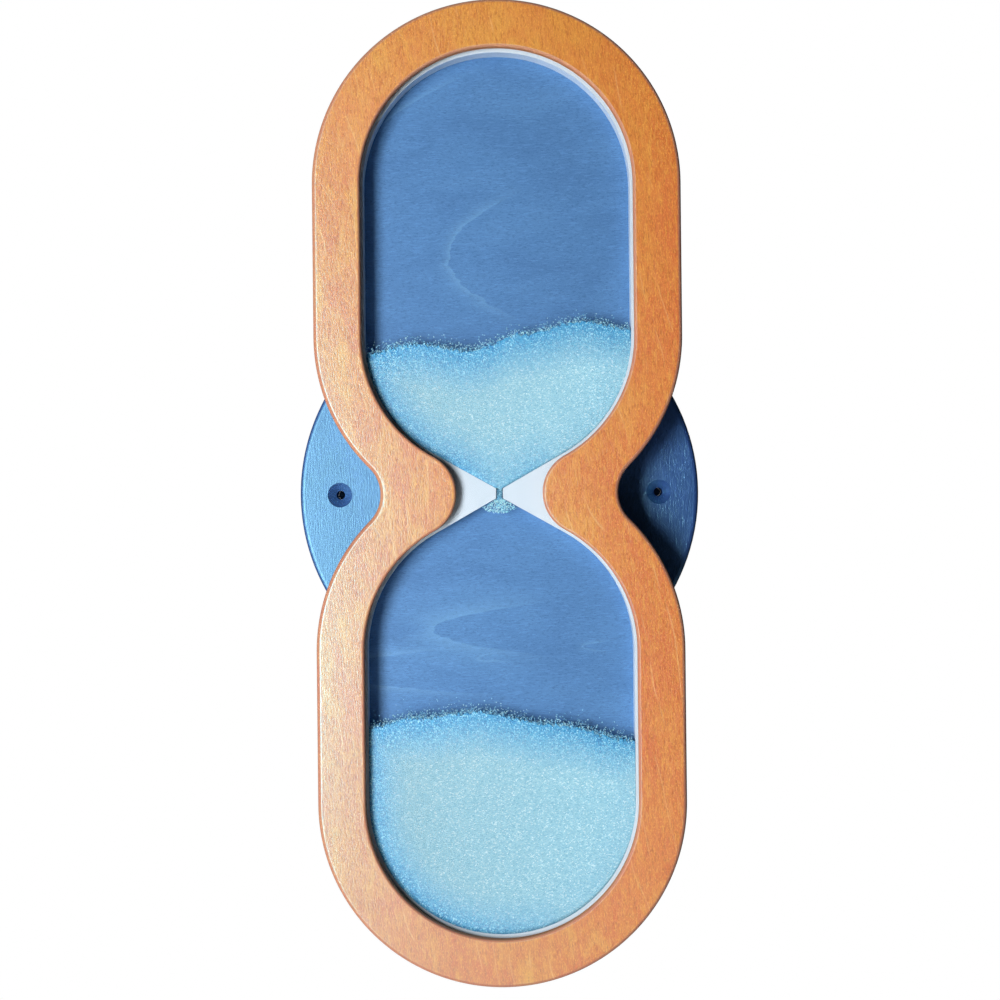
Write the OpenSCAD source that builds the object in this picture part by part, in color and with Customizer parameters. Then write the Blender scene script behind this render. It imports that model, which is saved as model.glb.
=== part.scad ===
// Wall-mounted turning sand timer: a flat two-lobed wooden frame with a sealed sand chamber,
// turning on a pivot bolt in the middle of a round wall disc.
// Z is up, the wall is the plane y = 0 and the front looks along -Y.
// The origin lies on the pivot axis, in the back face of the wall disc.

/* [Outline] */
// Overall height of the timer
height = 600; // [580:10:620]
// Width across each lobe
lobe_width = 224; // [218:2:228]
// Width across the waist of the frame
waist_width = 144.5; // [140.5:1:148.5]
// Distance from the pivot to the centre of the arc next to the waist
inner_arc_height = 95.5; // [93.5:0.5:97.5]

/* [Frame] */
// Width of the frame around the window
rim_width = 29; // [27:0.5:31]
// Width of the window at the waist
window_waist = 52.6; // [50.6:0.5:54.6]
// Thickness of the frame
frame_depth = 18; // [17:0.5:20]
// Thickness of the front lip that holds the window pane
lip_depth = 5; // [4:0.5:6]
// Width of the lip over the edge of the pane
lip_width = 11; // [10:0.5:12]

/* [Chamber] */
// Thickness of the clear window pane
pane_depth = 3; // [2:0.5:4]
// White edge of the chamber core seen inside the window
core_show = 1.5; // [1:0.5:2.5]
// Slope of the funnels above and below the neck, degrees
funnel_angle = 29.5; // [26:0.5:30]
// Width of the neck that the sand runs through
neck_width = 4.2; // [3:0.2:5]
// Height of the sand surface in the upper lobe, above the pivot
upper_level = 94; // [70:2:120]
// Depth of the top of the heap in the lower lobe, below the pivot
lower_level = 134; // [120:2:160]

/* [Wall mount] */
// Diameter of the wall disc
disc_d = 250; // [244:2:256]
// Thickness of the wall disc
disc_depth = 18; // [17:0.5:20]
// Radius of the rounded front edge of the wall disc
disc_edge_r = 3; // [2:0.5:4]
// Distance between the two wall screw holes
wall_hole_spacing = 200; // [190:2:208]
// Diameter of each wall screw hole
wall_hole_d = 5.5; // [5:0.5:7]
// Diameter of the countersink of each wall screw hole
wall_sink_d = 15.5; // [13.5:0.5:16.5]
// Gap between the wall disc and the back panel
turn_gap = 5; // [4.5:0.5:6]

/* [Pivot] */
// Diameter of the pivot bolt
bolt_d = 10; // [9:1:11]
// Radial running clearance of the bolt in its bush
running_gap = 0.05; // [0.02:0.01:0.08]
// Diameter of the steel flange behind the back panel
flange_d = 90; // [80:2:94]

/* [Hidden] */
$fn = 96;
eps = 0.01;
past = 1;
// The waist arcs reach this far past the point where they touch the lobes
join_cut = 0.02;

// Outline: radii, waist half widths and arc centres
lobe_r = lobe_width / 2;
waist_half = waist_width / 2;
outer_arc_height = height / 2 - lobe_r;
window_r = lobe_r - rim_width;
window_half = window_waist / 2;
rebate_r = window_r + lip_width;
rebate_half = window_half + lip_width;
fit_gap = 0.3;

// Chamber
core_r = window_r - core_show;
neck_half = neck_width / 2;
funnel_x = core_r * sin(funnel_angle);
funnel_z = inner_arc_height - core_r * cos(funnel_angle);
neck_z = funnel_z - (funnel_x - neck_half) * tan(funnel_angle);
seal_depth = 1.2;
seal_width = 3;
seal_inset = 4.5;

// Upper sand surface: its tilt and its waves
surface_tilt = 0.1;
wave_height = 3.5;
wave_rate = 3.6;
wave_x = 48;
// Lower sand surface: place of the top of the heap and its fall to both sides
heap_x = -14;
heap_slope = 0.09;
heap_bend = 0.0009;
surface_step = 8;

// Falling sand: gap in the neck, gap in front and behind, lower edge of the fan
fall_gap = 0.5;
fall_inset = 1;
fan_half = 9;
fan_z = -10.4;

// Distances from the wall, from back to front
panel_depth = 9;
panel_y = disc_depth + turn_gap;
frame_y = panel_y + panel_depth;
front_y = frame_y + frame_depth;
pane_y = front_y - lip_depth - pane_depth;
core_depth = pane_y - frame_y;

// Wood screws: shank diameter, head diameter and height
screw_d = 3.5;
screw_head_d = 7.4;
screw_head_h = 2.4;
screw_tip_l = 3;
screw_tip_d = 0.6;
frame_screw_l = 20;
flange_screw_l = 10;
screw_play = 0.5;
recess_w = 0.9;
recess_l = 3.8;
recess_depth = 1.6;
screw_row_r = (lobe_r + rebate_r) / 2;
screw_waist_x = (waist_half + rebate_half) / 2;
lobe_screw_angles = [90, 25, 155];
waist_screw_angles = [-20, 200];

// Pivot stack
flange_depth = 3;
flange_y = panel_y - flange_depth;
flange_screw_n = 6;
flange_screw_inset = 10;
flange_screw_r = flange_d / 2 - flange_screw_inset;
bush_d = bolt_d + 4;
bush_flange_d = bolt_d + 20;
bush_flange_depth = 1;
washer_d = bolt_d + 18;
washer_gap = 0.3;
washer_depth = 1.5;
web_y = 11;
well_d = 44;
head_flats = bolt_d + 7;
head_depth = 4;
spring_depth = 1.5;
spring_sheet = 0.9;
spring_d = bolt_d + 14;
nut_y = 1;
nut_collar_depth = 2;
nut_collar_d = head_flats - 1;
insert_gap = 0.3;
nut_front_y = web_y - washer_depth - spring_depth;
insert_d = bolt_d + 3.2;
bolt_end_y = 0.6;
end_chamfer = 1;
thread_pitch = 1.5;
thread_depth = 0.5;
glide_r = 50;
glide_width = 8;
glide_groove = 2;
glide_gap = 0.3;

// Radius of the arc that joins the two lobes of an outline at the waist
function waist_arc(r, half) =
    (half * half + inner_arc_height * inner_arc_height - r * r) / (2 * (r - half));
// Angle at which a lobe passes into the waist arc
function waist_angle(r, half) = atan2(inner_arc_height, half + waist_arc(r, half));
// Width across the corners of a hexagon given across its flats
function across_corners(flats) = flats / cos(30);
// Height of the sand surface at x, in the upper lobe and in the lower lobe
function upper_surface(x) =
    upper_level + surface_tilt * x + wave_height * cos(wave_rate * (x - wave_x));
function lower_surface(x) =
    -lower_level - heap_slope * abs(x - heap_x) - heap_bend * pow(x - heap_x, 2);

// Lays a shape drawn in the plane of the frame at a distance y from the wall
module at_depth(y) {
    translate([0, -y, 0])
        rotate([90, 0, 0])
            children();
}

// Two-lobed outline with lobe radius r and half width at the waist
module outline(r, half) {
    arc = waist_arc(r, half);
    angle = waist_angle(r, half);
    join_x = r * cos(angle);
    join_z = inner_arc_height - r * sin(angle);
    difference() {
        union() {
            for (side = [0, 1]) mirror([0, side]) {
                translate([0, outer_arc_height]) circle(r);
                translate([0, inner_arc_height]) circle(r);
                translate([-r, inner_arc_height])
                    square([2 * r, outer_arc_height - inner_arc_height]);
            }
            translate([-join_x, -join_z]) square([2 * join_x, 2 * join_z]);
        }
        for (side = [-1, 1])
            translate([side * (half + arc), 0]) circle(arc + join_cut);
    }
}

// Inside of the chamber: two lobes that run down to the neck
module chamber_outline() {
    for (side = [0, 1]) mirror([0, side]) {
        translate([0, outer_arc_height]) circle(core_r);
        translate([0, inner_arc_height]) circle(core_r);
        translate([-core_r, inner_arc_height])
            square([2 * core_r, outer_arc_height - inner_arc_height]);
        polygon([
            [funnel_x, funnel_z], [0, inner_arc_height], [-funnel_x, funnel_z],
            [-neck_half, neck_z], [-neck_half, -past], [neck_half, -past],
            [neck_half, neck_z]
        ]);
    }
}

// Ring between two offsets of the window outline
module window_ring(inner, outer) {
    difference() {
        outline(window_r + outer, window_half + outer);
        outline(window_r + inner, window_half + inner);
    }
}

// Centres of the screws that join the back panel to the frame
module at_frame_screws() {
    for (low = [0, 1]) mirror([0, low, 0]) {
        for (a = lobe_screw_angles)
            translate([screw_row_r * cos(a), outer_arc_height + screw_row_r * sin(a), 0])
                children();
        for (a = waist_screw_angles)
            translate([screw_row_r * cos(a), inner_arc_height + screw_row_r * sin(a), 0])
                children();
    }
    for (side = [-1, 1]) translate([side * screw_waist_x, 0, 0]) children();
}

// Centres of the screws in the flange
module at_flange_screws() {
    for (i = [0 : flange_screw_n - 1])
        rotate([0, 0, 360 * (i + 0.5) / flange_screw_n])
            translate([flange_screw_r, 0, 0]) children();
}

// Countersunk wood screw with its head at the origin, pointing to the front
module wood_screw(length) {
    difference() {
        union() {
            cylinder(h = screw_head_h, d1 = screw_head_d, d2 = screw_d);
            translate([0, 0, screw_head_h - eps])
                cylinder(h = length - screw_tip_l - screw_head_h + eps, d = screw_d);
            translate([0, 0, length - screw_tip_l])
                cylinder(h = screw_tip_l, d1 = screw_d, d2 = screw_tip_d);
        }
        for (turn = [0, 90]) rotate([0, 0, turn])
            translate([-recess_l / 2, -recess_w / 2, -past])
                cube([recess_l, recess_w, past + recess_depth]);
    }
}

// Countersunk hole for a wood screw
module screw_hole(length) {
    cylinder(h = screw_head_h, d1 = screw_head_d, d2 = screw_d);
    translate([0, 0, -past]) cylinder(h = past + eps, d = screw_head_d);
    translate([0, 0, screw_head_h - eps])
        cylinder(h = length - screw_head_h + screw_play, d = screw_d);
}

// Flat washer lying between two distances from the wall
module washer(y, depth, outer_d, inner_d) {
    at_depth(y) difference() {
        cylinder(h = depth, d = outer_d);
        translate([0, 0, -past]) cylinder(h = depth + 2 * past, d = inner_d);
    }
}

// Round disc that the wall screws hold to the wall
module wall_disc() {
    color("#3f76b4") at_depth(0) difference() {
        rotate_extrude() {
            square([disc_d / 2 - disc_edge_r, disc_depth]);
            square([disc_d / 2, disc_depth - disc_edge_r]);
            translate([disc_d / 2 - disc_edge_r, disc_depth - disc_edge_r])
                circle(disc_edge_r, $fn = 48);
        }
        for (side = [-1, 1]) translate([side * wall_hole_spacing / 2, 0, 0]) {
            translate([0, 0, -past]) cylinder(h = disc_depth + 2 * past, d = wall_hole_d);
            translate([0, 0, disc_depth - (wall_sink_d - wall_hole_d) / 2])
                cylinder(h = (wall_sink_d - wall_hole_d) / 2, d1 = wall_hole_d, d2 = wall_sink_d);
            translate([0, 0, disc_depth - eps]) cylinder(h = past, d = wall_sink_d);
        }
        translate([0, 0, -past]) cylinder(h = web_y + past, d = well_d);
        translate([0, 0, web_y - past]) cylinder(h = disc_depth, d = bush_d);
        translate([0, 0, disc_depth - glide_groove]) difference() {
            cylinder(h = glide_groove + past, r = glide_r + glide_width);
            translate([0, 0, -past]) cylinder(h = glide_groove + 3 * past, r = glide_r);
        }
    }
}

// Flanged bush pressed into the wall disc
module pivot_bush() {
    color("#c39a4e") at_depth(web_y) difference() {
        union() {
            cylinder(h = disc_depth - web_y + eps, d = bush_d);
            translate([0, 0, disc_depth - web_y])
                cylinder(h = bush_flange_depth, d = bush_flange_d);
        }
        translate([0, 0, -past])
            cylinder(h = disc_depth, d = bolt_d + 2 * running_gap);
    }
}

// Slippery ring that steadies the back panel on the wall disc
module glide_ring() {
    color("#e9e6dc")
        washer(disc_depth - glide_groove, glide_groove + turn_gap - glide_gap,
            2 * (glide_r + glide_width), 2 * glide_r);
}

// Pivot bolt with its hexagon head in the back panel and its thread at the wall
module pivot_bolt() {
    shank_l = panel_y - bolt_end_y;
    thread_n = floor((nut_front_y - bolt_end_y) / thread_pitch);
    color("#b9bcc0") at_depth(bolt_end_y) difference() {
        union() {
            cylinder(h = shank_l + eps, d = bolt_d);
            translate([0, 0, shank_l])
                cylinder(h = head_depth, d = across_corners(head_flats), $fn = 6);
        }
        rotate_extrude() translate([bolt_d / 2, 0])
            polygon([[-end_chamfer, 0], [past, -past], [past, end_chamfer + past]]);
        for (i = [1 : thread_n - 2])
            translate([0, 0, i * thread_pitch]) rotate_extrude()
                polygon([
                    [bolt_d / 2 - thread_depth, 0], [bolt_d / 2 + thread_depth, -thread_depth],
                    [bolt_d / 2 + thread_depth, thread_depth]
                ]);
    }
}

// Steel flange screwed to the back of the back panel
module pivot_flange() {
    color("#9fa4aa") at_depth(flange_y) difference() {
        cylinder(h = flange_depth, d = flange_d);
        translate([0, 0, -past])
            cylinder(h = flange_depth + 2 * past, d = bolt_d + washer_gap);
        at_flange_screws() screw_hole(flange_screw_l);
    }
}

// Screws through the flange
module flange_screws() {
    color("#c8cacd") at_depth(flange_y) at_flange_screws() wood_screw(flange_screw_l);
}

// Washer between the flange and the bush
module thrust_washer() {
    thrust_y = disc_depth + bush_flange_depth;
    color("#d8d4c6") washer(thrust_y, flange_y - thrust_y, bush_flange_d, bolt_d + 2 * washer_gap);
}

// Washer behind the wall disc
module rear_washer() {
    color("#b5b8bc")
        washer(web_y - washer_depth, washer_depth, washer_d, bolt_d + 2 * washer_gap);
}

// Cone-shaped spring washer that keeps the turning friction
module spring_washer() {
    color("#8d9196") at_depth(nut_front_y) rotate_extrude() polygon([
        [bolt_d / 2 + washer_gap, 0],
        [bolt_d / 2 + washer_gap, spring_sheet],
        [spring_d / 2, spring_depth],
        [spring_d / 2, spring_depth - spring_sheet]
    ]);
}

// Hexagon nut with a collar that holds a plastic locking ring
module lock_nut() {
    color("#b9bcc0") at_depth(nut_y) difference() {
        union() {
            translate([0, 0, nut_collar_depth])
                cylinder(h = nut_front_y - nut_y - nut_collar_depth,
                    d = across_corners(head_flats), $fn = 6);
            cylinder(h = nut_collar_depth + eps, d = nut_collar_d);
        }
        translate([0, 0, -past]) cylinder(h = nut_front_y + past, d = bolt_d);
        translate([0, 0, -past]) cylinder(h = nut_collar_depth + past, d = insert_d);
    }
}

// Plastic ring in the lock nut
module nut_insert() {
    color("#2f6fb0")
        washer(nut_y + insert_gap, nut_collar_depth - insert_gap, insert_d, bolt_d);
}

// Back panel of the chamber
module back_panel() {
    color("#4f7fbc") at_depth(panel_y) difference() {
        linear_extrude(panel_depth) outline(lobe_r, waist_half);
        at_frame_screws() screw_hole(frame_screw_l);
        translate([0, 0, -flange_depth]) at_flange_screws() screw_hole(flange_screw_l);
        translate([0, 0, -past])
            cylinder(h = head_depth + past, d = across_corners(head_flats), $fn = 6);
    }
}

// Frame with the window and the rebate for the pane and the core
module front_frame() {
    color("#d98645") at_depth(frame_y) difference() {
        linear_extrude(frame_depth) outline(lobe_r, waist_half);
        translate([0, 0, -past])
            linear_extrude(frame_depth + 2 * past) outline(window_r, window_half);
        translate([0, 0, -past])
            linear_extrude(frame_depth - lip_depth + past) outline(rebate_r, rebate_half);
        at_frame_screws() cylinder(h = frame_screw_l - panel_depth, d = screw_d);
    }
}

// Screws that hold the back panel to the frame
module frame_screws() {
    color("#c8cacd") at_depth(panel_y) at_frame_screws() wood_screw(frame_screw_l);
}

// White core: the side walls of the chamber with the two funnels and the neck
module chamber_core() {
    color("#e6f0f6") at_depth(frame_y) difference() {
        linear_extrude(core_depth) outline(rebate_r - fit_gap, rebate_half - fit_gap);
        translate([0, 0, -past]) linear_extrude(core_depth + 2 * past) chamber_outline();
        for (z = [-past, core_depth - seal_depth]) translate([0, 0, z])
            linear_extrude(seal_depth + past) window_ring(seal_inset, seal_inset + seal_width);
    }
}

// Cord seal in a groove of the core
module seal(y) {
    at_depth(y) linear_extrude(seal_depth) window_ring(seal_inset, seal_inset + seal_width);
}

module rear_seal() {
    color("#3b3d40") seal(frame_y);
}

module front_seal() {
    color("#3b3d40") seal(pane_y - seal_depth);
}

// Clear pane behind the lip of the frame
module window_pane() {
    color("#eef6fa", 0.35) at_depth(pane_y)
        linear_extrude(pane_depth) outline(rebate_r - fit_gap, rebate_half - fit_gap);
}

// Sand resting above the neck
module upper_sand() {
    color("#a3dcec") at_depth(frame_y) linear_extrude(core_depth) intersection() {
        chamber_outline();
        polygon(concat(
            [[lobe_r, neck_z], [-lobe_r, neck_z]],
            [for (x = [-lobe_r : surface_step : lobe_r]) [x, upper_surface(x)]]
        ));
    }
}

// Sand heaped in the lower lobe
module lower_sand() {
    color("#a3dcec") at_depth(frame_y) linear_extrude(core_depth) intersection() {
        chamber_outline();
        polygon(concat(
            [[lobe_r, -height / 2], [-lobe_r, -height / 2]],
            [for (x = [-lobe_r : surface_step : lobe_r]) [x, lower_surface(x)]]
        ));
    }
}

// Sand in the neck and the grains that fan out below it
module falling_sand() {
    stream_half = neck_half - fall_gap;
    color("#8fc7e0") at_depth(frame_y + fall_inset)
        linear_extrude(core_depth - 2 * fall_inset) polygon([
            [-stream_half, neck_z], [stream_half, neck_z], [stream_half, -neck_z],
            [fan_half, fan_z], [-fan_half, fan_z], [-stream_half, -neck_z]
        ]);
}

wall_disc();
pivot_bush();
glide_ring();
pivot_bolt();
pivot_flange();
flange_screws();
thrust_washer();
rear_washer();
spring_washer();
lock_nut();
nut_insert();
back_panel();
front_frame();
frame_screws();
chamber_core();
rear_seal();
front_seal();
window_pane();
upper_sand();
lower_sand();
falling_sand();
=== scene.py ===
import math
import random

import bmesh
import bpy
from mathutils import Matrix, Vector


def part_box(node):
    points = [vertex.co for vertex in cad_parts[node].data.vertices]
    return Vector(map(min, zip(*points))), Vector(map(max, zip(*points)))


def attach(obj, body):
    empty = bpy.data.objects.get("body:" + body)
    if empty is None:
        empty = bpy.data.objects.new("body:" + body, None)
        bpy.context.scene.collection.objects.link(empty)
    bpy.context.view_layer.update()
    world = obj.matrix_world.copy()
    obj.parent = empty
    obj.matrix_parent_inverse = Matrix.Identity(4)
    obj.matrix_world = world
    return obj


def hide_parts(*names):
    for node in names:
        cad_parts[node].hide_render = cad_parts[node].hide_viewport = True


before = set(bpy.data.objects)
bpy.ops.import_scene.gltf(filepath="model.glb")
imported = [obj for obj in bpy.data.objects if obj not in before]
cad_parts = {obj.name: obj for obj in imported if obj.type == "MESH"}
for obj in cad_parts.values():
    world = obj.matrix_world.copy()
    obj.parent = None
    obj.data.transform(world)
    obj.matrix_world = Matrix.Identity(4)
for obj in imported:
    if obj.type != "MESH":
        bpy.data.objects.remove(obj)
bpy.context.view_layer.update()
MM = 0.001

# ---------------------------------------------------------------- sizes from the frame

frame_lo, frame_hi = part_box("front_frame")
core_lo, core_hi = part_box("chamber_core")
pane_lo, pane_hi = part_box("window_pane")
panel_lo, panel_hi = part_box("back_panel")
disc_lo, disc_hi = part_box("wall_disc")

# front outlines: R is the radius of a lobe, WAIST the half width at the waist
LOBE_R = frame_hi.x
FAR_Z = frame_hi.z - LOBE_R  # centre of a lobe's far half circle
NEAR_Z = 95.5 * MM  # centre of a lobe's near half circle
WAIST = 72.25 * MM
REBATE_PLAY = 0.3 * MM
REBATE_R = core_hi.x + REBATE_PLAY
LIP_WIDTH = 11 * MM
WINDOW_R = REBATE_R - LIP_WIDTH
WINDOW_WAIST = 26.3 * MM
CORE_LIP = 1.5 * MM  # the white core's edge that is seen inside the window
CORE_R = WINDOW_R - CORE_LIP

# funnels and neck
NECK_HALF = 2.1 * MM
FUNNEL = math.radians(29.5)
FUNNEL_X = CORE_R * math.sin(FUNNEL)
FUNNEL_Z = NEAR_Z - CORE_R * math.cos(FUNNEL)
NECK_Z = FUNNEL_Z - (FUNNEL_X - NECK_HALF) * math.tan(FUNNEL)

# depths and edges
FRONT_Y = frame_lo.y
BACK_Y = frame_hi.y
LIP_Y = pane_lo.y
REAR_Y = LIP_Y - 0.1 * MM  # every face of the frame behind this is a cut edge
EDGE_R = 2.6 * MM
WINDOW_EDGE_R = 1.5 * MM
FLAT_STEP = 0.4 * MM  # from a rounding to the ring that keeps the flat face's shading flat
FLAT_SHARE = (WAIST - WINDOW_WAIST) / (LOBE_R - WINDOW_R)
SIDEWAYS = 0.2  # a face whose normal has less than this along Y is a cut edge
PANE_EDGE = 0.3 * MM
PANE_LIP_GAP = 0.05 * MM
PANE_CORE_GAP = 0.12 * MM

# wall screw holes, and the discs of painted shade at their wall end
HOLE_X = 100 * MM
HOLE_R = 2.7 * MM
HOLE_Y = -0.3 * MM

# number of steps along each part of a quarter outline, across a rounding and round a hole
WAIST_STEPS, SHOULDER_STEPS, SIDE_STEPS, TOP_STEPS = 18, 26, 16, 54
ROUND_STEPS = 7
HOLE_STEPS = 32


# ---------------------------------------------------------------- outlines and meshes

def quadrant(r, half):
    """Upper right quarter of a two-lobed outline, from the waist to the top, as (x, z)."""
    arc = (half * half + NEAR_Z * NEAR_Z - r * r) / (2 * (r - half))
    turn = math.atan2(NEAR_Z, half + arc)
    points = []
    for i in range(WAIST_STEPS):
        a = turn * i / WAIST_STEPS
        points.append((half + arc - arc * math.cos(a), arc * math.sin(a)))
    for i in range(SHOULDER_STEPS):
        a = -turn + turn * i / SHOULDER_STEPS
        points.append((r * math.cos(a), NEAR_Z + r * math.sin(a)))
    for i in range(SIDE_STEPS):
        points.append((r, NEAR_Z + (FAR_Z - NEAR_Z) * i / SIDE_STEPS))
    for i in range(TOP_STEPS):
        a = math.pi / 2 * i / TOP_STEPS
        points.append((r * math.cos(a), FAR_Z + r * math.sin(a)))
    return points


def outline(r, half):
    """Whole two-lobed outline, counter-clockwise seen from the front, as (x, z)."""
    right = quadrant(r, half)
    left = [(-x, z) for x, z in reversed(right[1:])]
    upper = right + [(0.0, FAR_Z + r)] + left
    lower = [(-x, -z) for x, z in upper]
    return upper + lower


def ring(r, half, y):
    """Outline at depth y."""
    return [Vector((x, y, z)) for x, z in outline(r, half)]


def new_object(name, verts, faces, smooth=True):
    """Mesh object in the scene."""
    mesh = bpy.data.meshes.new(name)
    mesh.from_pydata([tuple(v) for v in verts], [], faces)
    mesh.validate()
    mesh.polygons.foreach_set("use_smooth", [smooth] * len(mesh.polygons))
    mesh.update()
    piece = bpy.data.objects.new(name, mesh)
    bpy.context.scene.collection.objects.link(piece)
    return piece


def loft(name, rings, closed=True):
    """Skin over rings with the same number of points; the last one joins the first if closed."""
    count = len(rings[0])
    verts = [v for loop in rings for v in loop]
    faces = []
    pairs = len(rings) if closed else len(rings) - 1
    for k in range(pairs):
        a, b = k * count, (k + 1) % len(rings) * count
        for i in range(count):
            j = (i + 1) % count
            faces.append((a + i, a + j, b + j, b + i))
    return new_object(name, verts, faces)


def plate(name, rings):
    """Skin over rings from back to front, closed by a flat face at both ends."""
    piece = loft(name, rings, False)
    mesh = piece.data
    count = len(rings[0])
    last = len(mesh.vertices) - count
    shell = bmesh.new()
    shell.from_mesh(mesh)
    shell.verts.ensure_lookup_table()
    shell.faces.new([shell.verts[i] for i in range(count)])
    shell.faces.new([shell.verts[last + i] for i in reversed(range(count))])
    shell.to_mesh(mesh)
    shell.free()
    return piece


def sharpen(piece, degrees=35):
    """Marks edges sharper than this angle, so that smooth shading stops there."""
    piece.data.set_sharp_from_angle(angle=math.radians(degrees))


# ---------------------------------------------------------------- node helpers

def add(tree, kind, inputs=None, **attributes):
    """New node with its inputs linked to sockets or set to values."""
    made = tree.nodes.new(kind)
    for name, value in attributes.items():
        setattr(made, name, value)
    for name, value in (inputs or {}).items():
        socket = made.inputs[name]
        if isinstance(value, bpy.types.NodeSocket):
            tree.links.new(value, socket)
        else:
            socket.default_value = value
    return made


def calc(tree, operation, a, b=0.0, c=0.0):
    """Result of a math node."""
    made = add(tree, "ShaderNodeMath", {0: a, 1: b, 2: c}, operation=operation)
    return made.outputs[0]


def ramp(tree, factor, stops):
    """Colour band through stops of (position, colour)."""
    made = add(tree, "ShaderNodeValToRGB", {"Fac": factor})
    band = made.color_ramp
    while len(band.elements) < len(stops):
        band.elements.new(0.5)
    for element, (position, colour) in zip(band.elements, stops):
        element.position = position
        element.color = (*colour, 1.0)
    return made.outputs["Color"]


def level(tree, factor, low, high):
    """0 up to low, 1 from high on, straight between; low may be the larger one."""
    made = add(tree, "ShaderNodeMapRange", {"Value": factor, "From Min": low, "From Max": high})
    return made.outputs["Result"]


def mix(tree, factor, a, b, blend="MIX"):
    """Colour a turned into b by a factor; each is a socket or a constant."""
    made = add(tree, "ShaderNodeMix", data_type="RGBA", blend_type=blend)
    for index, value in ((0, factor), (6, a), (7, b)):
        if isinstance(value, bpy.types.NodeSocket):
            tree.links.new(value, made.inputs[index])
        elif index:
            made.inputs[index].default_value = (*value, 1.0)
        else:
            made.inputs[index].default_value = value
    return made.outputs[2]


def stain_and_painted_light(tree, base, mask, share, colour):
    """The base with this share of a colour mixed in where the mask is 1; used for real stains and
    for painted light and shade.
    """
    return mix(tree, calc(tree, "MULTIPLY", mask, share), base, colour)


def times(colour, factor):
    """A constant colour made darker or lighter."""
    return tuple(min(1, c * factor) for c in colour)


def place(tree, size_mm, turn_deg=0.0, shift=(0, 0, 0)):
    """Object coordinates divided by a feature size in mm along x, y and z."""
    coords = add(tree, "ShaderNodeTexCoord").outputs["Object"]
    turned = add(tree, "ShaderNodeVectorRotate",
                 {"Vector": coords, "Angle": math.radians(turn_deg)}, rotation_type="Y_AXIS")
    scale = tuple(1000.0 / s for s in size_mm)
    made = add(tree, "ShaderNodeMapping",
               {"Vector": turned.outputs[0], "Scale": scale, "Location": shift})
    return made.outputs[0]


def spot_mm(tree, turn_deg=0.0):
    """Outputs X, Y and Z: the place on the object in mm."""
    return add(tree, "ShaderNodeSeparateXYZ", {0: place(tree, (1, 1, 1), turn_deg)}).outputs


def noise(tree, size_mm, turn_deg=0.0, shift=(0, 0, 0), detail=2.0, rough=0.5, distort=0.0):
    """Noise with features of this size along x, y and z."""
    made = add(tree, "ShaderNodeTexNoise",
               {"Vector": place(tree, size_mm, turn_deg, shift), "Scale": 1.0,
                "Detail": detail, "Roughness": rough, "Distortion": distort})
    return made.outputs["Fac"]


def material(name, colour=(0.8, 0.8, 0.8), roughness=0.5, **sockets):
    """New material, its node tree and its Principled node."""
    made = bpy.data.materials.new(name)
    made.use_nodes = True
    tree = made.node_tree
    shader = tree.nodes["Principled BSDF"]
    shader.inputs["Base Color"].default_value = (*colour, 1.0)
    shader.inputs["Roughness"].default_value = roughness
    for key, value in sockets.items():
        shader.inputs[key.replace("_", " ")].default_value = value
    made.diffuse_color = (*colour, 1.0)
    return made, tree, shader


def bump(tree, shader, height, distance_mm, strength):
    """Relief of this height on the shader's normal."""
    made = add(tree, "ShaderNodeBump",
               {"Height": height, "Distance": distance_mm * MM, "Strength": strength})
    tree.links.new(made.outputs[0], shader.inputs["Normal"])


def painted_light_gradient(tree, colour, side_rate, low, high, first, second):
    """Painted light and shade: multiplies a colour by the first share at the lower left, the second
    at the upper right.
    """
    spot = spot_mm(tree)
    lean = calc(tree, "MULTIPLY_ADD", spot["X"], side_rate, spot["Z"])
    shade = calc(tree, "MULTIPLY_ADD", level(tree, lean, low, high), second - first, first)
    return mix(tree, 1.0, colour, shade, "MULTIPLY")


# ---------------------------------------------------------------- wood

def facing(tree):
    """1 on faces that look along the pivot, 0 on faces that look sideways."""
    normal = add(tree, "ShaderNodeNewGeometry").outputs["Normal"]
    normal_y = add(tree, "ShaderNodeSeparateXYZ", {0: normal}).outputs["Y"]
    return calc(tree, "ABSOLUTE", normal_y)


def ply_stripes(tree, plies, front_y, depth):
    """Share of dark ply by depth, and the grain on the cut edge."""
    place_y = add(tree, "ShaderNodeSeparateXYZ",
                  {0: add(tree, "ShaderNodeTexCoord").outputs["Object"]}).outputs["Y"]
    along = calc(tree, "MULTIPLY", calc(tree, "SUBTRACT", place_y, front_y), plies / depth)
    wave = calc(tree, "FRACT", calc(tree, "MULTIPLY", along, 0.5))
    dark = calc(tree, "LESS_THAN", wave, 0.5)
    grain = level(tree, noise(tree, (1.2, 0.4, 1.2), detail=3.0), 0.35, 0.65)
    return calc(tree, "MULTIPLY", dark, 0.7), grain


def long_lines(tree, spacing, lean_deg, width):
    """Thin wandering lines along the grain, in mm, here and there."""
    across = spot_mm(tree, lean_deg)["X"]
    wander = noise(tree, (50, 50, 110), shift=(4, 0, 1), detail=1.0)
    bent = calc(tree, "MULTIPLY_ADD", wander, 45.0, across)
    phase = calc(tree, "FRACT", calc(tree, "DIVIDE", bent, spacing))
    off = calc(tree, "ABSOLUTE", calc(tree, "SUBTRACT", phase, 0.5))
    line = level(tree, calc(tree, "MULTIPLY", off, spacing), width, 0.15 * width)
    parts = noise(tree, (18, 18, 34), shift=(6, 0, 5), detail=1.0)
    return calc(tree, "MULTIPLY", line, level(tree, parts, 0.50, 0.60))


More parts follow.
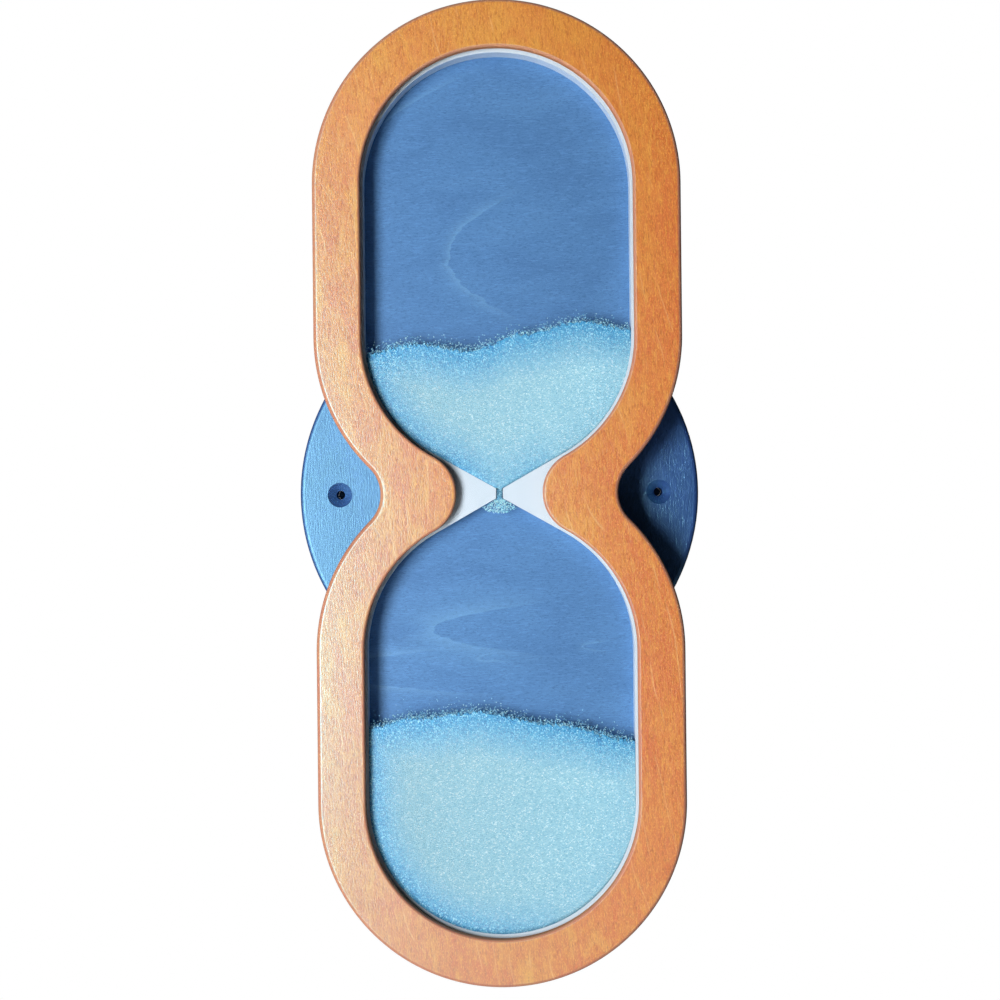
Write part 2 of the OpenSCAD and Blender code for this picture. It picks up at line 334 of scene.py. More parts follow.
def orange_wood():
    """Face of the frame: orange stain under a satin varnish."""
    made, tree, shader = material("orange_stained_wood", (0.62, 0.2, 0.02), 0.42)
    streak = noise(tree, (0.9, 0.9, 6), turn_deg=3, detail=3.0, rough=0.6, distort=0.6)
    fleck = noise(tree, (0.75, 0.75, 3.6), turn_deg=3, shift=(3, 0, 8), detail=3.0, rough=0.6,
                  distort=0.5)
    speck = noise(tree, (0.55, 0.55, 1.5), turn_deg=4, shift=(7, 0, 2), detail=1.0)
    patch = noise(tree, (12, 12, 34), turn_deg=4, shift=(1, 0, 2), detail=3.0, rough=0.65,
                  distort=0.9)
    cloud = noise(tree, (42, 42, 80), shift=(5, 0, 5))
    spot = spot_mm(tree)
    base = ramp(tree, patch, [(0.33, (0.64, 0.135, 0.008)), (0.45, (0.66, 0.178, 0.010)),
                              (0.55, (0.69, 0.225, 0.014)), (0.68, (0.72, 0.300, 0.026))])
    # large areas: reddish clouds; painted light towards the top, paler gold, and painted shade
    # towards the right, deeper red
    base = stain_and_painted_light(tree, base, level(tree, cloud, 0.50, 0.66), 0.5, (0.68, 0.130, 0.016))
    base = stain_and_painted_light(tree, base, level(tree, spot["Z"], 120, 290), 0.35, (0.71, 0.34, 0.035))
    base = stain_and_painted_light(tree, base, level(tree, spot["X"], 20, 110), 0.55, (0.68, 0.130, 0.010))
    # grain: light streaks, dark flecks, bright specks and long pale lines
    base = stain_and_painted_light(tree, base, level(tree, streak, 0.50, 0.70), 0.66, (0.84, 0.38, 0.04))
    base = stain_and_painted_light(tree, base, level(tree, fleck, 0.48, 0.36), 0.55, (0.40, 0.080, 0.006))
    base = stain_and_painted_light(tree, base, level(tree, speck, 0.54, 0.64), 0.45, (0.95, 0.46, 0.06))
    hair = long_lines(tree, spacing=13, lean_deg=15, width=0.5)
    base = stain_and_painted_light(tree, base, hair, 0.36, (0.95, 0.60, 0.24))
    # painted shade: darker towards the lower left, where the lamp lights the frame most
    base = painted_light_gradient(tree, base, side_rate=3.0, low=-490, high=0, first=0.87, second=1.0)
    # darker and rougher on the rounded edges
    turned = level(tree, facing(tree), 0.9995, 0.955)
    base = stain_and_painted_light(tree, base, turned, 0.65, (0.34, 0.070, 0.018))
    tree.links.new(base, shader.inputs["Base Color"])
    rough = calc(tree, "MULTIPLY_ADD", fleck, 0.18, 0.255)
    rough = calc(tree, "MULTIPLY_ADD", turned, 0.55, rough)
    tree.links.new(rough, shader.inputs["Roughness"])
    relief = calc(tree, "ADD", fleck, calc(tree, "MULTIPLY", speck, 0.5))
    bump(tree, shader, relief, distance_mm=0.10, strength=0.8)
    # satin varnish that gives the pale wash at the left
    shader.inputs["IOR"].default_value = 1.97
    shader.inputs["Specular IOR Level"].default_value = 1.0
    shader.inputs["Specular Tint"].default_value = (0.2, 0.85, 1.0, 1.0)
    return made


def orange_edge():
    """Cut edge of the frame: plies one behind the other, stained like the face."""
    made, tree, shader = material("orange_ply_edge", (0.45, 0.15, 0.03), 0.55)
    ply, grain = ply_stripes(tree, plies=13, front_y=FRONT_Y, depth=BACK_Y - FRONT_Y)
    base = mix(tree, ply, (0.52, 0.19, 0.035), (0.24, 0.07, 0.012))
    base = stain_and_painted_light(tree, base, grain, 0.35, (0.13, 0.04, 0.01))
    tree.links.new(base, shader.inputs["Base Color"])
    bump(tree, shader, grain, distance_mm=0.05, strength=0.6)
    return made


def growth_lines(tree, tongues):
    """Pale edges of growth rings: parabolas with their tips at (x, z) mm, opening towards +x.

    The arm is 1 for the upper half of a parabola only, 0 for both halves.
    """
    warp = noise(tree, (20, 20, 7), shift=(9, 0, 4), detail=4.0, rough=0.6)
    sway = calc(tree, "MULTIPLY", calc(tree, "SUBTRACT", warp, 0.5), 10)
    spot = spot_mm(tree)
    x = calc(tree, "ADD", spot["X"], sway)
    z = calc(tree, "ADD", spot["Z"], calc(tree, "MULTIPLY", sway, 0.4))
    total = None
    for tip_x, tip_z, opening, reach, fade, arm in tongues:
        run = calc(tree, "SUBTRACT", x, tip_x)
        rise = calc(tree, "DIVIDE", calc(tree, "SUBTRACT", z, tip_z), opening)
        depth = calc(tree, "SUBTRACT", run, calc(tree, "MULTIPLY", rise, rise))
        slope = calc(tree, "MULTIPLY", rise, 2 / opening)
        steep = calc(tree, "SQRT", calc(tree, "MULTIPLY_ADD", slope, slope, 1.0))
        inside = calc(tree, "DIVIDE", depth, steep)
        glow = calc(tree, "POWER", level(tree, inside, -fade, 0.0), 4.0)
        cut = level(tree, inside, 0.5, 0.0)
        along = level(tree, run, reach, 0.35 * reach)
        line = calc(tree, "MULTIPLY", calc(tree, "MULTIPLY", glow, cut), along)
        if arm:
            line = calc(tree, "MULTIPLY", line, level(tree, rise, 0.0, 2.0))
        total = line if total is None else calc(tree, "MAXIMUM", total, line)
    return total


def blue_wood(name, shades, along, plies, front_y, depth, relief, tongues=(), calm=0.0):
    """Blue-stained wood in deep, mid and pale shades.

    along is x or z, the way the grain runs, and relief is in mm. The finish is smoother by calm
    towards the right edge of a disc.
    """
    deep, mid, pale = shades
    made, tree, shader = material(name, mid, 0.45)

    def sized(across, length):
        return (length, across, across) if along == "x" else (across, across, length)

    fine = noise(tree, sized(0.7, 6), turn_deg=1.5, detail=3.0, rough=0.7, distort=0.4)
    pore = noise(tree, sized(0.6, 2), turn_deg=1.5, shift=(7, 0, 3), rough=0.6)
    cloud = noise(tree, sized(26, 60), turn_deg=3, shift=(2, 0, 9), detail=3.0, distort=0.8)
    base = ramp(tree, cloud, [(0.30, deep), (0.50, mid), (0.72, pale)])
    base = stain_and_painted_light(tree, base, level(tree, fine, 0.50, 0.66), 0.34, times(pale, 1.5))
    base = stain_and_painted_light(tree, base, level(tree, pore, 0.47, 0.33), 0.50, times(deep, 0.62))
    if tongues:
        ring_edge = tuple(min(1, c * 1.9 + 0.08) for c in pale)
        base = stain_and_painted_light(tree, base, growth_lines(tree, tongues), 0.24, ring_edge)
        # painted shade on the panel, darkest towards the upper right
        base = painted_light_gradient(tree, base, side_rate=3.0, low=-260, high=330, first=0.81, second=0.73)
    side = level(tree, facing(tree), 0.85, 0.45)
    ply, grain = ply_stripes(tree, plies, front_y, depth)
    edge = mix(tree, ply, times(mid, 0.9), times(deep, 0.35))
    edge = stain_and_painted_light(tree, edge, grain, 0.35, times(deep, 0.3))
    base = stain_and_painted_light(tree, base, side, 0.7, edge)
    tree.links.new(base, shader.inputs["Base Color"])
    rough = calc(tree, "MULTIPLY_ADD", fine, 0.14, 0.38)
    if calm:
        right = level(tree, spot_mm(tree)["X"], 40, 90)
        rough = calc(tree, "MULTIPLY_ADD", right, -calm, rough)
    tree.links.new(rough, shader.inputs["Roughness"])
    height = calc(tree, "ADD", fine, calc(tree, "MULTIPLY", pore, 0.4))
    bump(tree, shader, height, distance_mm=relief, strength=0.7)
    return made, shader


# ---------------------------------------------------------------- plastics, sand, metal

def white_core():
    made, tree, shader = material("white_core_plastic", (0.80, 0.86, 0.90), 0.32)
    tone = noise(tree, (20, 20, 20))
    base = ramp(tree, tone, [(0.3, (0.63, 0.72, 0.81)), (0.7, (0.66, 0.745, 0.835))])
    tree.links.new(base, shader.inputs["Base Color"])
    bump(tree, shader, noise(tree, (0.8, 0.8, 0.8)), distance_mm=0.01, strength=0.4)
    return made


def clear_pane():
    """See-through sheet: it mirrors little when seen straight on and a lot at a slant."""
    straight_on = 0.012
    made, tree, shader = material("clear_pane")
    slant = add(tree, "ShaderNodeLayerWeight", {"Blend": 0.5}).outputs["Facing"]
    steep = calc(tree, "POWER", slant, 5.0)
    mirrored = calc(tree, "MULTIPLY_ADD", steep, 1.0 - straight_on, straight_on)
    smear = noise(tree, (12, 12, 30), turn_deg=20, detail=3.0)
    gloss = add(tree, "ShaderNodeBsdfAnisotropic",
                {"Roughness": calc(tree, "MULTIPLY_ADD", smear, 0.06, 0.01)}).outputs[0]
    clear = add(tree, "ShaderNodeBsdfTransparent", {"Color": (0.957, 0.967, 0.972, 1.0)}).outputs[0]
    both = add(tree, "ShaderNodeMixShader", {0: mirrored, 1: clear, 2: gloss}).outputs[0]
    tree.links.new(both, tree.nodes["Material Output"].inputs["Surface"])
    tree.nodes.remove(shader)
    return made


# colour of a grain by its random number; the palest grains partly stand in for glints, as painted
# highlights
HEAP_TONES = [(0.0, (0.22, 0.51, 0.68)), (0.22, (0.30, 0.60, 0.75)), (0.62, (0.36, 0.66, 0.79)),
              (0.88, (0.44, 0.74, 0.85)), (0.97, (0.72, 0.92, 0.98))]
# tones of the bluer grains near the free surface and of the painted shade along the walls
BLUE_AND_SHADE_TONES = [(0.0, (0.01, 0.16, 0.42)), (0.35, (0.03, 0.28, 0.57)),
             (0.75, (0.08, 0.42, 0.69)), (0.96, (0.38, 0.76, 0.91))]
LOOSE_TONES = [(0.0, (0.08, 0.30, 0.58)), (0.35, (0.20, 0.54, 0.78)),
               (0.65, (0.38, 0.76, 0.94)), (0.85, (0.58, 0.95, 1.0))]
# the falling grains are paler than the heap: painted light, making up for the shade the grains cast
# on one another
STREAM_PAINTED_LIGHT_TONES = [(0.0, (0.04, 0.26, 0.58)), (0.20, (0.30, 0.75, 0.95)),
                (0.50, (0.46, 0.90, 1.0)), (0.82, (0.72, 1.0, 1.0))]


def sand_material(name, loose=None):
    """Grains as small cells; loose gives their tones, without it they are those of a heap."""
    made, tree, shader = material(name, (0.42, 0.72, 0.86), 0.5)
    grain_mm = 0.66
    cells = add(tree, "ShaderNodeTexVoronoi",
                {"Vector": place(tree, (grain_mm, grain_mm, grain_mm)), "Scale": 1.0,
                 "Randomness": 1.0}, feature="F1")
    pick = add(tree, "ShaderNodeSeparateColor", {0: cells.outputs["Color"]}).outputs
    if loose:
        base = ramp(tree, pick[0], loose)
    else:
        # painted light and shade: darker towards the lower left, lighter towards the upper right
        tone = painted_light_gradient(tree, ramp(tree, pick[0], HEAP_TONES), side_rate=12.0, low=-900,
                        high=900, first=0.70, second=0.98)
        # rim: bluer grains near the free surface, and painted shade along the walls
        edge = add(tree, "ShaderNodeAttribute", attribute_name="rim").outputs["Fac"]
        base = mix(tree, edge, tone, ramp(tree, pick[1], BLUE_AND_SHADE_TONES))
    tree.links.new(base, shader.inputs["Base Color"])
    rough = calc(tree, "MULTIPLY_ADD", pick[2], 0.4, 0.2)
    tree.links.new(rough, shader.inputs["Roughness"])
    bump(tree, shader, cells.outputs["Distance"], distance_mm=0.28, strength=0.6)
    return made


def metal(name, colour, roughness, wear=0.12):
    """Metal with fine scratches."""
    made, tree, shader = material(name, colour, roughness, Metallic=1.0)
    scratch = noise(tree, (0.25, 4, 4), detail=3.0, rough=0.6)
    tone = ramp(tree, scratch, [(0.3, times(colour, 0.82)), (0.7, colour)])
    tree.links.new(tone, shader.inputs["Base Color"])
    tree.links.new(calc(tree, "MULTIPLY_ADD", scratch, wear * 2, roughness - wear),
                   shader.inputs["Roughness"])
    bump(tree, shader, scratch, distance_mm=0.01, strength=0.4)
    return made


def plain_plastic(name, colour, roughness):
    """Plastic or rubber with a fine grain."""
    made, tree, shader = material(name, colour, roughness)
    fine = noise(tree, (0.5, 0.5, 0.5))
    tone = ramp(tree, fine, [(0.3, times(colour, 0.9)), (0.7, colour)])
    tree.links.new(tone, shader.inputs["Base Color"])
    bump(tree, shader, fine, distance_mm=0.02, strength=0.5)
    return made


# tip x, tip z, opening, length, fade and arm of each pale growth line on the panel, in mm
PANEL_FIGURE = [(-30, 146, 6.0, 46, 14, 0), (-43, -84, 2.0, 75, 22, 0),
                (-112, -109, 1.5, 120, 12, 0), (-86, 200, 7.1, 80, 8, 1),
                (-13, -101, 0.7, 26, 4, 0), (50, -95, 0.7, 20, 3, 0)]
PANEL_SHADES = (0.105, 0.258, 0.545), (0.118, 0.288, 0.595), (0.132, 0.316, 0.635)
DISC_SHADES = (0.020, 0.058, 0.20), (0.027, 0.072, 0.245), (0.038, 0.092, 0.295)

ORANGE = orange_wood()
ORANGE_EDGE = orange_edge()
PANEL, panel_shader = blue_wood(
    "blue_panel_wood", PANEL_SHADES, along="x", plies=6, front_y=panel_lo.y,
    depth=panel_hi.y - panel_lo.y, relief=0.06, tongues=PANEL_FIGURE)
panel_shader.inputs["Specular IOR Level"].default_value = 0.2
DISC, disc_shader = blue_wood(
    "blue_disc_wood", DISC_SHADES, along="z", plies=13, front_y=disc_lo.y,
    depth=disc_hi.y - disc_lo.y, relief=0.22, calm=0.15)
disc_shader.inputs["IOR"].default_value = 1.85
disc_shader.inputs["Specular IOR Level"].default_value = 1.0
disc_shader.inputs["Specular Tint"].default_value = (0.35, 0.8, 1.0, 1.0)
CORE = white_core()
PANE = clear_pane()
SAND = sand_material("blue_sand")
GRAINS = sand_material("loose_sand_grains", LOOSE_TONES)
STREAM = sand_material("falling_sand_grains", STREAM_PAINTED_LIGHT_TONES)
ZINC = metal("zinc_plated_steel", (0.66, 0.67, 0.69), 0.32)
PLATE = metal("rolled_steel", (0.46, 0.47, 0.49), 0.42)
SPRING = metal("spring_steel", (0.24, 0.25, 0.27), 0.38)
BRONZE = metal("plain_bronze", (0.62, 0.40, 0.17), 0.4)
GLIDE = plain_plastic("glide_plastic", (0.80, 0.78, 0.70), 0.5)
RUBBER = plain_plastic("seal_rubber", (0.03, 0.03, 0.033), 0.6)
NYLON = plain_plastic("blue_nylon", (0.05, 0.18, 0.50), 0.45)

CARRIED = {
    "wall_disc": DISC, "pivot_bush": BRONZE, "glide_ring": GLIDE, "pivot_bolt": ZINC,
    "pivot_flange": PLATE, "flange_screws": ZINC, "thrust_washer": GLIDE, "rear_washer": ZINC,
    "spring_washer": SPRING, "lock_nut": ZINC, "nut_insert": NYLON, "back_panel": PANEL,
    "frame_screws": ZINC, "chamber_core": CORE, "rear_seal": RUBBER, "front_seal": RUBBER,
}
for node_name, look in CARRIED.items():
    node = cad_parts[node_name]
    node.data.materials.clear()
    node.data.materials.append(look)


# ---------------------------------------------------------------- frame and pane

def rounding(radius):
    """Inset and depth of each ring across a rounded front edge, from its side to the front."""
    turns = [math.pi / 2 * i / ROUND_STEPS for i in range(ROUND_STEPS + 1)]
    return [(radius * (1 - math.cos(a)), FRONT_Y + radius * (1 - math.sin(a))) for a in turns]


def front_frame():
    """Frame with both front edges rounded and the rebate behind the lip."""
    rings = [ring(LOBE_R, WAIST, BACK_Y)]
    for inset, y in rounding(EDGE_R):
        rings.append(ring(LOBE_R - inset, WAIST - inset, y))
    for inset in (EDGE_R + FLAT_STEP, LOBE_R - WINDOW_R - WINDOW_EDGE_R - FLAT_STEP):
        rings.append(ring(LOBE_R - inset, WAIST - inset * FLAT_SHARE, FRONT_Y))
    for inset, y in reversed(rounding(WINDOW_EDGE_R)):
        rings.append(ring(WINDOW_R + inset, WINDOW_WAIST + inset, y))
    rings.append(ring(WINDOW_R, WINDOW_WAIST, LIP_Y))
    rings.append(ring(REBATE_R, WINDOW_WAIST + LIP_WIDTH, LIP_Y))
    rings.append(ring(REBATE_R, WINDOW_WAIST + LIP_WIDTH, BACK_Y))
    piece = loft("frame_shell", rings)
    sharpen(piece)
    piece.data.materials.append(ORANGE)
    piece.data.materials.append(ORANGE_EDGE)
    for face in piece.data.polygons:
        cut = abs(face.normal.y) < SIDEWAYS or face.center.y > REAR_Y
        face.material_index = int(cut)
    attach(piece, "timer")
    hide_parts("front_frame")


def window_pane():
    """Pane with small round edges, a hair clear of the core behind it."""
    r, half = REBATE_R - REBATE_PLAY, WINDOW_WAIST + LIP_WIDTH - REBATE_PLAY
    front, back = pane_lo.y + PANE_LIP_GAP, pane_hi.y - PANE_CORE_GAP
    rings = [ring(r - PANE_EDGE, half - PANE_EDGE, back), ring(r, half, back - PANE_EDGE),
             ring(r, half, front + PANE_EDGE), ring(r - PANE_EDGE, half - PANE_EDGE, front)]
    piece = plate("pane_sheet", rings)
    sharpen(piece)
    piece.data.materials.append(PANE)
    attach(piece, "timer")
    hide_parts("window_pane")


front_frame()
window_pane()


# ---------------------------------------------------------------- sand

# points (x, z) of the free surfaces, in mm
UPPER_LINE = [(-82, 85), (-52, 91.5), (-18, 87), (16, 97), (50, 104), (82, 99)]
LOWER_LINE = [(-82, -143), (-55, -137.5), (-16, -134), (30, -141.5), (82, -152)]

# the heaps' meshes
COLUMNS, ROWS, LAYERS = 220, 70, 7  # faces from side to side, up the front, front to back
ROW_CROWDING = 1.6  # above 1, rows lie closer near the free surface
NODE_GAP = 0.05 * MM  # inside the CAD node's front and back
SIDE_GAP = 0.15 * MM
FLOOR_GAP = 0.1 * MM
LEAST_HEIGHT = 0.02 * MM
LAYER_FALL = 0.6 * MM  # the surface falls this much per layer towards the back
LINE_ROUGH, FRONT_ROUGH, TOP_ROUGH = 0.8, 0.06, 0.35  # spread of the surfaces, in mm

# share of bluer grains, kept as the attribute rim: near the free surface, and along the walls as
# painted shade, most on the lower left side
SURFACE_REACH, WALL_REACH = 28, 25  # mm over which it fades out
# direction in (x, z) of the walls that get the most painted shade
SHADED_SIDE = Vector((-0.9, -0.44))
LEAST_WALL_SHADE = 0.20
TOP_BLUE, BACK_BLUE = 0.55, 0.4
NECK_BLUE, NECK_REACH = 0.4, 40  # share in the neck, and mm from it to the full share

# loose grains: octahedra with uneven corners
GRAIN_MM = 0.28, 0.50
CORNER_SPREAD = 0.75, 1.2
CORNERS = (1, 0, 0), (-1, 0, 0), (0, 1, 0), (0, -1, 0), (0, 0, 1), (0, 0, -1)
SIDES = ((0, 2, 4), (2, 1, 4), (1, 3, 4), (3, 0, 4), (2, 0, 5), (1, 2, 5), (3, 1, 5), (0, 3, 5))
GRAIN_GAP = 0.6 * MM  # from a grain's centre to the chamber's front, back and floor
NECK_BACK_GAP = 0.7 * MM
WALL_GAP = 0.7 * MM
SIDE_INSET = 1 * MM
RISE_MM, SINK_MM = 1.7, 1.4  # mean height over the surface, and how deep the lowest ones lie
NECK_PLAY = 0.5 * MM
NECK_OVER = 1.5 * MM

# grains that spread out below the neck
FAN_HALF_DEG = 64
FAN_LENGTH, FAN_WIDENING = 10.0, 2.6  # mm, and mm more per radian to the side
FAN_CROWDING = 0.95
FAN_TOP = 1.2 * MM
FAN_GAP = 0.45 * MM

EDGE_GRAINS, NECK_GRAINS, FAN_GRAINS = 3000, 380, 620


def upper_low(x):
    """Lower boundary of the upper lobe at x."""
    x = abs(x)
    if x <= FUNNEL_X:
        return NECK_Z + max(x - NECK_HALF, 0) * math.tan(FUNNEL)
    return NEAR_Z - math.sqrt(max(CORE_R ** 2 - x * x, 0))


def lower_low(x):
    """Lower boundary of the lower lobe at x."""
    return -(FAR_Z + math.sqrt(max(CORE_R ** 2 - x * x, 0)))


def wall_distance(x, z):
    """Distance of a point inside the chamber from its curved walls."""
    x, z = abs(x), abs(z)
    if z > FAR_Z:
        return CORE_R - math.hypot(x, z - FAR_Z)
    if z > NEAR_Z:
        return CORE_R - x
    arc = CORE_R - math.hypot(x, NEAR_Z - z)
    funnel = (z - NECK_Z - (x - NECK_HALF) * math.tan(FUNNEL)) * math.cos(FUNNEL)
    return min(arc, funnel) if x < FUNNEL_X else arc


def wall_painted_shade(x, z):
    """Painted shade near a wall, as a share of bluer grains: most along the lower left, where the
    frame shades the sand, hardly any on the right.
    """
    near = max(0.0, 1 - wall_distance(x, z) / MM / WALL_REACH)
    centre_z = math.copysign(min(max(abs(z), NEAR_Z), FAR_Z), z)
    lean = Vector((x, z - centre_z)).normalized().dot(SHADED_SIDE)
    funnel_share = 1.0
    if abs(z) <= NEAR_Z / 2:
        funnel_share = min(1.0, NECK_BLUE + abs(x) / MM / NECK_REACH)
    side_share = LEAST_WALL_SHADE + (1 - LEAST_WALL_SHADE) * max(0.0, lean) ** 0.5
    return funnel_share * near ** 1.35 * side_share


def smooth_line(points, x):
    """Smooth height at x through points (x, z) in mm."""
    x = x / MM
    if x <= points[0][0]:
        return points[0][1] * MM
    for (x0, z0), (x1, z1) in zip(points, points[1:]):
        if x <= x1:
            t = (x - x0) / (x1 - x0)
            t = t * t * (3 - 2 * t)
            return (z0 + (z1 - z0) * t) * MM
    return points[-1][1] * MM


def sand_body(name, node, line, low, rng):
    """Sand pressed against the pane: a fine grid in front, a rough top and a flat back."""
    lo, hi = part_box(node)
    front, back = lo.y + NODE_GAP, hi.y - NODE_GAP
    half = CORE_R - SIDE_GAP
    verts, blue_and_shade_shares, faces = [], [], []
    # front: column i holds the points i * count to i * count + ROWS, from the bottom up
    for i in range(COLUMNS + 1):
        x = -half * math.cos(math.pi * i / COLUMNS)
        bottom = low(x) + FLOOR_GAP
        top = max(smooth_line(line, x) + rng.gauss(0, LINE_ROUGH) * MM, bottom + LEAST_HEIGHT)
        for j in range(ROWS + 1):
            z = bottom + (top - bottom) * (1 - (1 - j / ROWS) ** ROW_CROWDING)
            near_top = max(0.0, 1 - (top - z) / MM / SURFACE_REACH) ** 0.95
            verts.append((x, front + abs(rng.gauss(0, FRONT_ROUGH)) * MM, z))
            blue_and_shade_shares.append(max(near_top, wall_painted_shade(x, z)))
    count = ROWS + 1
    for i in range(COLUMNS):
        for j in range(ROWS):
            a = i * count + j
            faces.append((a, a + count, a + count + 1, a + 1))
    # top: each column's points from the front to the back
    top_ids = [[i * count + ROWS] for i in range(COLUMNS + 1)]
    for i in range(COLUMNS + 1):
        x, _, z = verts[i * count + ROWS]
        for k in range(1, LAYERS + 1):
            y = front + (back - front) * k / LAYERS
            lift = rng.gauss(0, TOP_ROUGH) * MM - LAYER_FALL * k
            top_ids[i].append(len(verts))
            verts.append((x, y, max(z + lift, low(x) + FLOOR_GAP)))
            blue_and_shade_shares.append(TOP_BLUE)
    for a, b in zip(top_ids, top_ids[1:]):
        for k in range(LAYERS):
            faces.append((a[k], b[k], b[k + 1], a[k + 1]))
    # bottom and back
    bottom_ids = []
    for i in range(COLUMNS + 1):
        x, _, z = verts[i * count]
        bottom_ids.append(len(verts))
        verts.append((x, back, z))
        blue_and_shade_shares.append(BACK_BLUE)
    for i in range(COLUMNS):
        a, b = i * count, (i + 1) * count
        faces.append((b, a, bottom_ids[i], bottom_ids[i + 1]))
        faces.append((bottom_ids[i + 1], bottom_ids[i], top_ids[i][-1], top_ids[i + 1][-1]))
    # both sides
    left = list(range(count)) + top_ids[0][1:] + [bottom_ids[0]]
    right = [COLUMNS * count + j for j in range(count)] + top_ids[-1][1:] + [bottom_ids[-1]]
    faces.append(tuple(left))
    faces.append(tuple(reversed(right)))
    piece = new_object(name, verts, faces)
    # the bluer share near the free surface and the painted shade along the walls
    blue_and_shade_layer = piece.data.attributes.new("rim", "FLOAT", "POINT")
    blue_and_shade_layer.data.foreach_set("value", blue_and_shade_shares)
    piece.data.materials.append(SAND)
    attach(piece, "timer")
    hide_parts(node)


def add_grain(verts, faces, centre, size, rng):
    """One crystal: a small uneven octahedron with a random turn."""
    axis = Vector((rng.gauss(0, 1), rng.gauss(0, 1), rng.gauss(0, 1))).normalized()
    turn = Matrix.Rotation(rng.uniform(0, math.tau), 3, axis)
    start = len(verts)
    for way in CORNERS:
        corner = turn @ (Vector(way) * size * rng.uniform(*CORNER_SPREAD))
        verts.append(tuple(centre + corner))
    for a, b, c in SIDES:
        faces.append((start + a, start + b, start + c))


def grain_piece(name, centres, look, rng, replaced=()):
    """All grains around these centres as one piece."""
    verts, faces = [], []
    for centre in centres:
        add_grain(verts, faces, centre, rng.uniform(*GRAIN_MM) * MM, rng)
    piece = new_object(name, verts, faces, False)
    piece.data.materials.append(look)
    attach(piece, "timer")
    if replaced:
        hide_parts(*replaced)


def grain_depth(rng, near_share, reach_mm, back_gap):
    """Depth of a grain: this share of them lies within reach behind the pane."""
    front, back = core_lo.y + GRAIN_GAP, core_hi.y - back_gap
    if rng.random() < near_share:
        return front + rng.random() * reach_mm * MM
    return front + rng.random() * (back - front)


def edge_grains(line, low, rng):
    """Loose grains along the free surface, thinning out upwards."""
    centres = []
    while len(centres) < EDGE_GRAINS:
        x = rng.uniform(-CORE_R + SIDE_INSET, CORE_R - SIDE_INSET)
        rise = rng.expovariate(1 / RISE_MM) - SINK_MM
        z = smooth_line(line, x) + rise * MM
        if wall_distance(x, z) < WALL_GAP or z < low(x) + GRAIN_GAP:
            continue
        y = grain_depth(rng, near_share=0.85, reach_mm=0.8, back_gap=GRAIN_GAP)
        centres.append(Vector((x, y, z)))
    return centres


def neck_grains(rng):
    """Grains packed in the neck."""
    front, back = core_lo.y + GRAIN_GAP, core_hi.y - NECK_BACK_GAP
    centres = []
    for _ in range(NECK_GRAINS):
        z = rng.uniform(-NECK_Z, NECK_Z + NECK_OVER)
        x = rng.uniform(-1, 1) * (NECK_HALF - NECK_PLAY)
        centres.append(Vector((x, rng.uniform(front, back), z)))
    return centres


def fan_grains(rng):
    """Grains that spread out below the neck, thinner to the sides and downwards."""
    centres = []
    while len(centres) < FAN_GRAINS:
        turn = math.radians(rng.uniform(-FAN_HALF_DEG, FAN_HALF_DEG))
        longest = FAN_LENGTH + abs(turn) * FAN_WIDENING
        fall = longest * rng.random() ** FAN_CROWDING * MM
        x = fall * math.sin(turn)
        z = -NECK_Z + FAN_TOP - fall * math.cos(turn)
        if -z < NECK_Z + (abs(x) - NECK_HALF) * math.tan(FUNNEL) + FAN_GAP:
            continue
        y = grain_depth(rng, near_share=0.75, reach_mm=1.0, back_gap=NECK_BACK_GAP)
        centres.append(Vector((x, y, z)))
    return centres


draws = random.Random(7)
sand_body("upper_sand_heap", "upper_sand", UPPER_LINE, upper_low, draws)
sand_body("lower_sand_heap", "lower_sand", LOWER_LINE, lower_low, draws)
grain_piece("upper_sand_grains", edge_grains(UPPER_LINE, upper_low, draws), GRAINS, draws)
grain_piece("lower_sand_grains", edge_grains(LOWER_LINE, lower_low, draws), GRAINS, draws)
grain_piece("neck_grains", neck_grains(draws), GRAINS, draws, ("falling_sand",))
grain_piece("fan_grains", fan_grains(draws), STREAM, draws)


# ---------------------------------------------------------------- floor, light and camera

def pale_floor():
    left, right, near, far, height = -1.6, 1.6, -2.6, 0.34, -0.6
    corners = [(left, near, height), (right, near, height), (right, far, height),
               (left, far, height)]
    piece = new_object("floor", corners, [(0, 1, 2, 3)])
    piece.data.materials.append(material("pale_floor", (0.84, 0.84, 0.84), 0.6)[0])


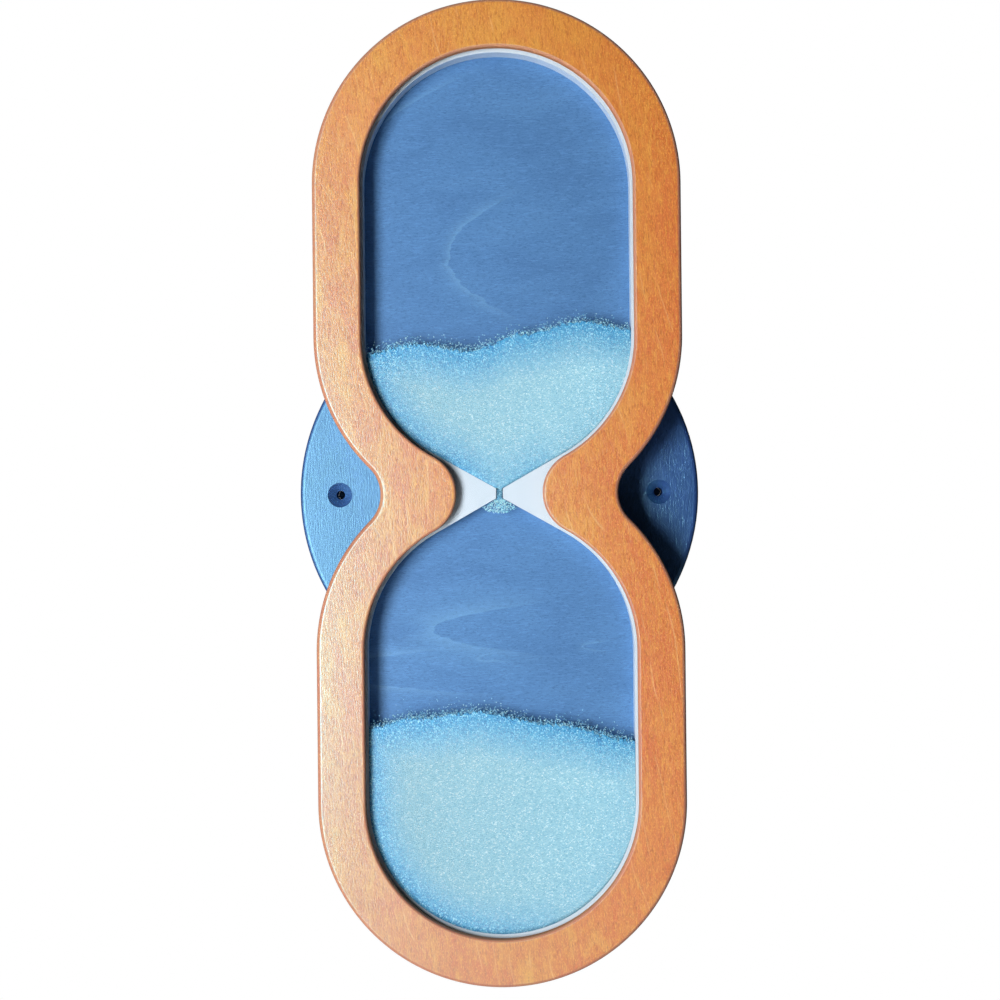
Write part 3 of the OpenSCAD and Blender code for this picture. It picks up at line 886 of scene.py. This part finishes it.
def painted_hole_shade():
    """Painted shade: dark discs at the wall end of the two screw holes, standing in for the shaded
    wall that would be seen through them.
    """
    look = material("dark_hole", (0.08, 0.11, 0.18), 0.9)[0]
    turns = [math.tau * i / HOLE_STEPS for i in range(HOLE_STEPS)]
    for number, x in enumerate((-HOLE_X, HOLE_X)):
        rim = [(x + HOLE_R * math.cos(a), HOLE_Y, HOLE_R * math.sin(a)) for a in turns]
        piece = new_object("hole_shade_disc_" + str(number + 1), rim, [tuple(range(HOLE_STEPS))])
        piece.data.materials.append(look)


def area_light(name, location, width, height, power, colour):
    """Elliptical lamp that looks at the middle of the timer."""
    data = bpy.data.lights.new(name, "AREA")
    data.shape = "ELLIPSE"
    data.size = width
    data.size_y = height
    data.energy = power
    data.color = colour
    lamp = bpy.data.objects.new(name, data)
    lamp.location = location
    lamp.rotation_euler = (-Vector(location)).to_track_quat("-Z", "Y").to_euler()
    bpy.context.scene.collection.objects.link(lamp)


def studio():
    """White for the camera, a faint fill for the model, a key light and a light behind."""
    world = bpy.data.worlds.new("studio")
    bpy.context.scene.world = world
    world.use_nodes = True
    tree = world.node_tree
    tree.nodes.clear()
    seen = add(tree, "ShaderNodeBackground", {"Color": (1.0, 1.0, 1.0, 1.0), "Strength": 1.0})
    fill = add(tree, "ShaderNodeBackground",
               {"Color": (0.92, 0.96, 1.0, 1.0), "Strength": 0.008})
    path = add(tree, "ShaderNodeLightPath").outputs["Is Camera Ray"]
    both = add(tree, "ShaderNodeMixShader", {0: path, 1: fill.outputs[0], 2: seen.outputs[0]})
    out = add(tree, "ShaderNodeOutputWorld")
    tree.links.new(both.outputs[0], out.inputs["Surface"])
    area_light("key", (-0.80, -1.25, -0.14), width=0.52, height=1.15, power=34,
               colour=(1.0, 0.985, 0.97))
    area_light("back_fill", (0.4, 1.3, 0.5), width=0.8, height=0.8, power=5,
               colour=(1.0, 1.0, 1.0))


def photo_camera():
    """Camera straight in front, rolled a little as in the photo."""
    spot, roll_deg = (0.0003, -0.95, -0.0041), -0.6
    data = bpy.data.cameras.new("camera")
    data.sensor_width = 36
    data.lens = 53.5
    camera = bpy.data.objects.new("camera", data)
    camera.matrix_world = (Matrix.Translation(spot)
                           @ Matrix.Rotation(math.radians(90), 4, "X")
                           @ Matrix.Rotation(math.radians(roll_deg), 4, "Z"))
    bpy.context.scene.collection.objects.link(camera)
    bpy.context.scene.camera = camera


pale_floor()
painted_hole_shade()
studio()
photo_camera()
bpy.context.scene.view_settings.view_transform = "Standard"
